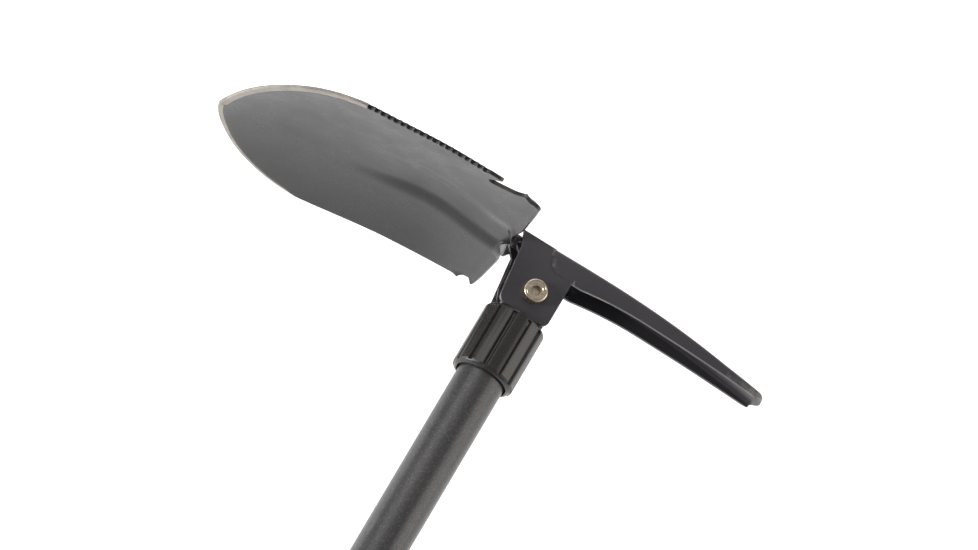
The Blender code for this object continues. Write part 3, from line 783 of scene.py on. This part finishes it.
# ---- pivot hardware ----
def make_bolt(finish):
    """Button-head bolt: rounded rim, face ring, countersunk hexagon socket, thread end."""
    face = PICK_EAR[1] + FIT_GAP
    crown = face + HEAD_HEIGHT
    low = -(PICK_EAR[1] + 9.0)
    rim = arc((HEAD_RADIUS - 0.7, crown - 0.7), 0.7, 90.0, 0.0, 5)
    profile = [(0.01, crown - 0.22), (2.9, crown - 0.22), (3.05, crown - 0.02),
               (4.15, crown - 0.02), (4.28, crown - 0.14), (4.4, crown - 0.02)] + rim
    profile += [(HEAD_RADIUS, face + 0.15), (HEAD_RADIUS - 0.15, face), (BOLT_RADIUS, face)]
    thread_top = -12.0
    pitch = 0.8
    turns = int((thread_top - low - 0.7) / pitch)
    profile += [(BOLT_RADIUS, thread_top + 0.1)]
    for i in range(turns):
        start = thread_top - pitch * i
        profile += [(BOLT_RADIUS, start - 0.1), (BOLT_RADIUS - 0.42, start - 0.4)]
    profile += [(BOLT_RADIUS - 0.05, low + 0.7), (BOLT_RADIUS - 0.7, low), (0.01, low)]
    bolt = lathe("pivot_bolt_visual", profile, 72, "Z")
    socket = cylinder("bolt_socket", 2.31, crown - 2.3, crown + 2.0, 6)
    bolt = cut(bolt, socket)
    finish_piece(bolt, "handle", "pivot_bolt", finish)


def make_nut(finish):
    """A hexagon lock nut with chamfered corners and a rolled-in collar."""
    high = -(PICK_EAR[1] + 2 * FIT_GAP + 1.2)
    low = high - 5.4
    nut = cylinder("pivot_nut_visual", 5.7, low, high, 6)
    bore = BOLT_RADIUS + FIT_GAP
    body = [(0.01, high), (5.0, high), (5.75, high - 0.45), (5.75, low + 1.9),
            (5.0, low + 1.5), (4.6, low + 1.35), (4.5, low + 0.5), (4.1, low + 0.05),
            (3.7, low), (0.01, low)]
    nut = cut(nut, lathe("nut_body", body, 72, "Z"), operation="INTERSECT")
    nut = cut(nut, cylinder("nut_bore", bore, low - 2.0, high + 2.0))
    finish_piece(nut, "handle", "pivot_nut", finish)


def make_lug(finish):
    """The fixed tongue of the hinge, with softened edges."""
    outline = arc((0.0, 0.0), 9.6, 180.0, 0.0, 40)
    outline += [(9.6, -13.0), (7.8, LUG_FOOT), (-7.8, LUG_FOOT), (-9.6, -13.0)]
    lug = prism("hinge_lug_visual", outline, -LUG_HALF, LUG_HALF)
    bevel(lug, 0.4, 3, 60.0)
    applied(lug)
    stem = lathe("lug_stem", [(0.01, -15.0), (6.0, -15.0), (6.0, -51.4), (5.4, -52.0),
                              (0.01, -52.0)], 48)
    lug = cut(lug, stem, operation="UNION")
    lug = cut(lug, cylinder("lug_bore", 4.3, -8.0, 8.0),
              cylinder("lug_cross_bore", PIN_RADIUS + FIT_GAP, -20.0, 20.0, 32, "X", -30.0))
    finish_piece(lug, "handle", "hinge_lug", finish)


# ---- collar ----
def make_collar(finish):
    """The screw collar: flat ribs between narrow grooves, a lip above, a band below."""
    ribs = 12
    steps = 20                      # points around each rib
    groove_half = 0.05              # half width as a share of the rib's pitch
    ramp = 0.11
    recess, floor, skirt, mouth, bore = 13.3, -16.4, 12.9, 11.9, 11.7
    band = 13.75
    top, low, outer = COLLAR_TOP, COLLAR_BOTTOM, COLLAR_RADIUS
    profile = [(recess, top - 0.3, 0.0), (recess + 0.15, top, 0.0), (outer - 0.7, top, 0.0),
               (outer - 0.5, top - 0.1, 0.0), (outer - 0.1, top - 0.6, 0.0),
               (outer, top - 0.9, 0.0), (outer, top - 1.3, 0.0), (outer - 0.05, top - 1.5, 0.9),
               (outer - 0.05, top - 1.6, 1.0), (outer - 0.05, top - 4.0, 1.0),
               (outer - 0.05, top - 10.0, 1.0), (outer - 0.05, low + 10.0, 1.0),
               (outer - 0.05, low + 1.7, 1.0), (outer - 0.25, low + 1.4, 0.9),
               (band, low + 1.25, 0.0), (band - 0.1, low + 1.0, 0.0),
               (mouth + 0.55, low + 0.1, 0.0), (mouth + 0.3, low, 0.0), (mouth, low + 0.2, 0.0),
               (mouth, low + 1.8, 0.0), (skirt, low + 2.2, 0.0),
               (skirt, -35.6, 0.0), (bore, -35.0, 0.0), (bore, floor - 0.3, 0.0),
               (bore + 0.2, floor, 0.0), (recess, floor, 0.0)]
    shares = [p[2] for p in profile]

    def groove(index, angle):
        if not shares[index]:
            return 0.0
        phase = (angle * ribs / (2 * math.pi) - 0.6 + 0.5) % 1.0 - 0.5
        deep = 1.0 - smoothstep((abs(phase) - groove_half) / ramp)
        crown = 0.3 * (2 * (abs(phase) - 0.25)) ** 2
        return shares[index] * (1.15 * deep + crown)

    collar = lathe("locking_collar_visual", [p[:2] for p in profile], ribs * steps * 2,
                   ripple=groove)
    finish_piece(collar, "collar", "locking_collar", finish)


# ---- handle ----
def make_tube(finish):
    inner = TUBE_RADIUS - TUBE_WALL
    low = -HANDLE_REACH + CAP_FLANGE + FIT_GAP
    heights = [-35.2 - (low + 35.8) * -i / 24 for i in range(25)]
    profile = [(inner, -34.5), (inner + 0.2, -34.3), (TUBE_RADIUS - 0.35, -34.3),
               (TUBE_RADIUS - 0.1, -34.42), (TUBE_RADIUS, -34.7)]
    profile += [(TUBE_RADIUS, height) for height in heights]
    profile += [(TUBE_RADIUS, low + 0.4), (TUBE_RADIUS - 0.1, low + 0.1),
                (TUBE_RADIUS - 0.35, low), (inner + 0.2, low), (inner, low + 0.2)]
    tube = lathe("handle_tube_visual", profile, 128)
    bores = [cylinder("tube_bore", PIN_RADIUS + FIT_GAP, -20.0, 20.0, 32, "X", height)
             for height in (-39.0, -HANDLE_REACH + 20.0)]
    finish_piece(cut(tube, *bores), "handle", "handle_tube", finish)


def make_grip(finish):
    """A moulded sleeve with rounded rings, broken by shallow flutes."""
    low = -HANDLE_REACH + CAP_FLANGE + FIT_GAP
    high = low + GRIP_LENGTH
    inner = TUBE_RADIUS + FIT_GAP
    profile = [(inner, high - 0.3), (inner + 0.3, high), (GRIP_RADIUS - 2.6, high),
               (GRIP_RADIUS - 2.1, high - 0.4), (GRIP_RADIUS - 1.0, high - 1.9),
               (GRIP_RADIUS - 0.8, high - 2.4)]
    shares = [0.0] * len(profile)
    rings = 9
    pitch = (GRIP_LENGTH - 16.0) / rings
    start = high - 8.0
    steps = 14
    for i in range(rings * steps + 1):
        wave = (1 - math.cos(2 * math.pi * i / steps)) / 2
        profile.append((GRIP_RADIUS - 1.6 + 1.6 * wave ** 0.6, start - pitch * i / steps))
        shares.append(wave)
    profile += [(GRIP_RADIUS - 0.8, low + 7.2), (GRIP_RADIUS - 0.4, low + 6.0),
                (GRIP_RADIUS - 0.4, low + 0.5), (GRIP_RADIUS - 0.6, low + 0.1),
                (GRIP_RADIUS - 0.9, low), (inner + 0.3, low), (inner, low + 0.3)]
    shares += [0.0] * 7
    flutes = 10

    def flute(index, angle):
        phase = abs((angle * flutes / (2 * math.pi)) % 1.0 - 0.5) * 2
        return shares[index] * 0.9 * (1 - smoothstep(phase / 0.22))

    grip = lathe("grip_sleeve_visual", profile, 240, ripple=flute)
    finish_piece(grip, "handle", "grip_sleeve", finish)


def make_end_cap(finish):
    """A moulded plug whose flange has a fluted edge and a flat end with a ring groove."""
    low = -HANDLE_REACH
    flange = low + CAP_FLANGE
    plug = TUBE_RADIUS - TUBE_WALL - FIT_GAP
    seat = flange + 9.0
    edge = GRIP_RADIUS - 0.6
    profile = [(0.01, low + 26.0), (plug - 1.0, low + 26.0), (plug, low + 25.0),
               (plug, seat), (plug - 1.4, seat), (plug - 1.4, seat - 2.4),
               (plug, seat - 2.4), (plug, flange), (edge - 0.3, flange),
               (edge, flange - 0.3), (edge, low + 1.8), (edge - 0.12, low + 1.3),
               (edge - 0.6, low + 0.5), (edge - 1.3, low + 0.08), (edge - 1.8, low),
               (8.6, low), (8.4, low + 0.25), (8.0, low + 0.35), (7.6, low + 0.25),
               (7.4, low), (0.01, low)]

    def flute(index, angle):
        if index not in (9, 10, 11):
            return 0.0
        phase = abs((angle * 40 / (2 * math.pi)) % 1.0 - 0.5) * 2
        return 0.35 * (1 - smoothstep(phase / 0.5))

    cap = lathe("end_cap_visual", profile, 240, ripple=flute)
    cap = cut(cap, cylinder("cap_bore", PIN_RADIUS + FIT_GAP, -20.0, 20.0, 32, "X",
                            low + 20.0))
    finish_piece(cap, "handle", "end_cap", finish)


def dress_cad_nodes(finishes):
    """Gives the CAD nodes that stay their finish, soft edges and smooth sides."""
    for name, (finish, width) in finishes.items():
        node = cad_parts[name]
        node.material_slots[0].material = finish
        smooth(node)
        step = node.modifiers.new("edge", "BEVEL")
        step.width = width * MM
        step.segments = 2
        step.limit_method = "ANGLE"
        step.angle_limit = math.radians(50.0)


# ---- stage, light and camera ----
def make_floor():
    bm = bmesh.new()
    bmesh.ops.create_grid(bm, x_segments=1, y_segments=1, size=FLOOR_HALF)
    mesh = bpy.data.meshes.new("floor")
    bm.to_mesh(mesh)
    bm.free()
    floor = bpy.data.objects.new("floor", mesh)
    bpy.context.scene.collection.objects.link(floor)
    floor.location = (0.0, 0.0, FLOOR_HEIGHT)
    shader = Shader("floor_white")
    tone = shader.blend(shader.noise(400.0, 2.0), (0.80, 0.80, 0.80), (0.82, 0.82, 0.82))
    mesh.materials.append(shader.set(Base_Color=tone, Roughness=0.9,
                                     Emission_Color=(1.0, 1.0, 1.0),
                                     Emission_Strength=0.80))


def view_axes():
    right = VIEW_RIGHT.normalized()
    back = right.cross(VIEW_UP).normalized()
    return right, back.cross(right), back


def area_light(name, direction, distance, size, power, colour):
    """A soft panel facing the head, placed by the view's right, up and back."""
    right, up, back = view_axes()
    light = bpy.data.lights.new(name, "AREA")
    light.shape = "RECTANGLE"
    light.size, light.size_y = size
    light.energy = power
    light.color = colour
    panel = bpy.data.objects.new(name, light)
    bpy.context.scene.collection.objects.link(panel)
    way = (right * direction[0] + up * direction[1] + back * direction[2]).normalized()
    panel.location = VIEW_CENTRE + way * distance
    panel.rotation_euler = way.to_track_quat("Z", "Y").to_euler()


def make_lights():
    area_light("panel_left", (-1.0, 0.15, 0.35), 1.1, (0.3, 1.2), 22.0, (1.0, 1.0, 1.0))
    area_light("panel_right", (1.0, -0.1, 0.25), 1.3, (0.7, 1.2), 6.0, (1.0, 0.94, 0.88))
    area_light("panel_head", (0.1, 1.0, 0.5), 1.2, (1.2, 0.7), 5.0, (1.0, 0.97, 0.94))
    world = bpy.data.worlds.new("studio")
    world.use_nodes = True
    background = world.node_tree.nodes["Background"]
    background.inputs["Color"].default_value = (1.0, 0.99, 0.98, 1.0)
    background.inputs["Strength"].default_value = 0.35
    bpy.context.scene.world = world


def make_camera():
    """A long lens at the photograph's angle, close to a parallel view."""
    right, up, back = view_axes()
    camera = bpy.data.cameras.new("camera")
    sensor = 36.0
    camera.sensor_width = sensor
    shown_width = IMAGE_WIDTH / PIXELS_PER_MM * MM
    camera.lens = sensor * VIEW_DISTANCE / shown_width
    camera.clip_end = 50.0
    eye = bpy.data.objects.new("camera", camera)
    bpy.context.scene.collection.objects.link(eye)
    rotation = Matrix((right, up, back)).transposed().to_4x4()
    eye.matrix_world = Matrix.Translation(VIEW_CENTRE + back * VIEW_DISTANCE) @ rotation
    bpy.context.scene.camera = eye


def main():
    bpy.context.scene.view_settings.view_transform = "Standard"
    blade_paint = paint("blade_paint", (0.013, 0.0115, 0.0125), (0.017, 0.0155, 0.0165), 0.28)
    # The saw teeth's cut faces get a darker copy of the blade paint: painted shade.
    tooth_shade_paint = paint("tooth_shade_paint", (0.007, 0.006, 0.006), (0.012, 0.010, 0.010), 0.55)
    pick_paint = paint("pick_paint", (0.042, 0.040, 0.046), (0.050, 0.047, 0.052), 0.36)
    nickel = bare_metal("nickel_steel", (0.60, 0.52, 0.41), (0.50, 0.42, 0.32), 0.22)
    # The bolt's steel, with painted shade in its hexagon socket.
    bolt = bare_metal("bolt_steel", (0.60, 0.52, 0.41), (0.50, 0.42, 0.32), 0.22, recess=2.35)
    zinc = bare_metal("zinc_steel", (0.42, 0.42, 0.42), (0.34, 0.33, 0.32), 0.30)
    ferrule = bare_metal("ferrule_metal", (0.38, 0.38, 0.37), (0.30, 0.29, 0.28), 0.32)
    collar = plastic("collar_plastic", (0.017, 0.0145, 0.014), 0.27)
    cap = plastic("cap_plastic", (0.014, 0.014, 0.014), 0.36)
    rubber = plastic("rubber", (0.012, 0.012, 0.012), 0.6, 0.5, 0.02)
    grip = plastic("grip_rubber", (0.018, 0.018, 0.018), 0.58, 0.6, 0.03)
    nylon = plastic("nylon", (0.55, 0.53, 0.47), 0.42, 0.6, 0.01)
    make_blade(blade_paint, ground_steel(), tooth_shade_paint)
    make_pick(pick_paint)
    make_bolt(bolt)
    make_nut(nickel)
    make_lug(zinc)
    make_collar(collar)
    make_tube(tube_finish())
    make_grip(grip)
    make_end_cap(cap)
    dress_cad_nodes({
        "nut_washer": (nickel, 0.15), "pivot_sleeve": (zinc, 0.15),
        "lug_washer_front": (nylon, 0.1), "lug_washer_rear": (nylon, 0.1),
        "ear_washer_front": (zinc, 0.1), "ear_washer_rear": (zinc, 0.1),
        "threaded_ferrule": (ferrule, 0.1), "lug_cross_pin": (zinc, 0.2),
        "ferrule_rivet_left": (zinc, 0.2), "ferrule_rivet_right": (zinc, 0.2),
        "collar_wiper_ring": (rubber, 0.2), "end_cap_seal": (rubber, 0.2),
        "end_cap_pin": (zinc, 0.2)})
    make_floor()
    make_lights()
    make_camera()


main()
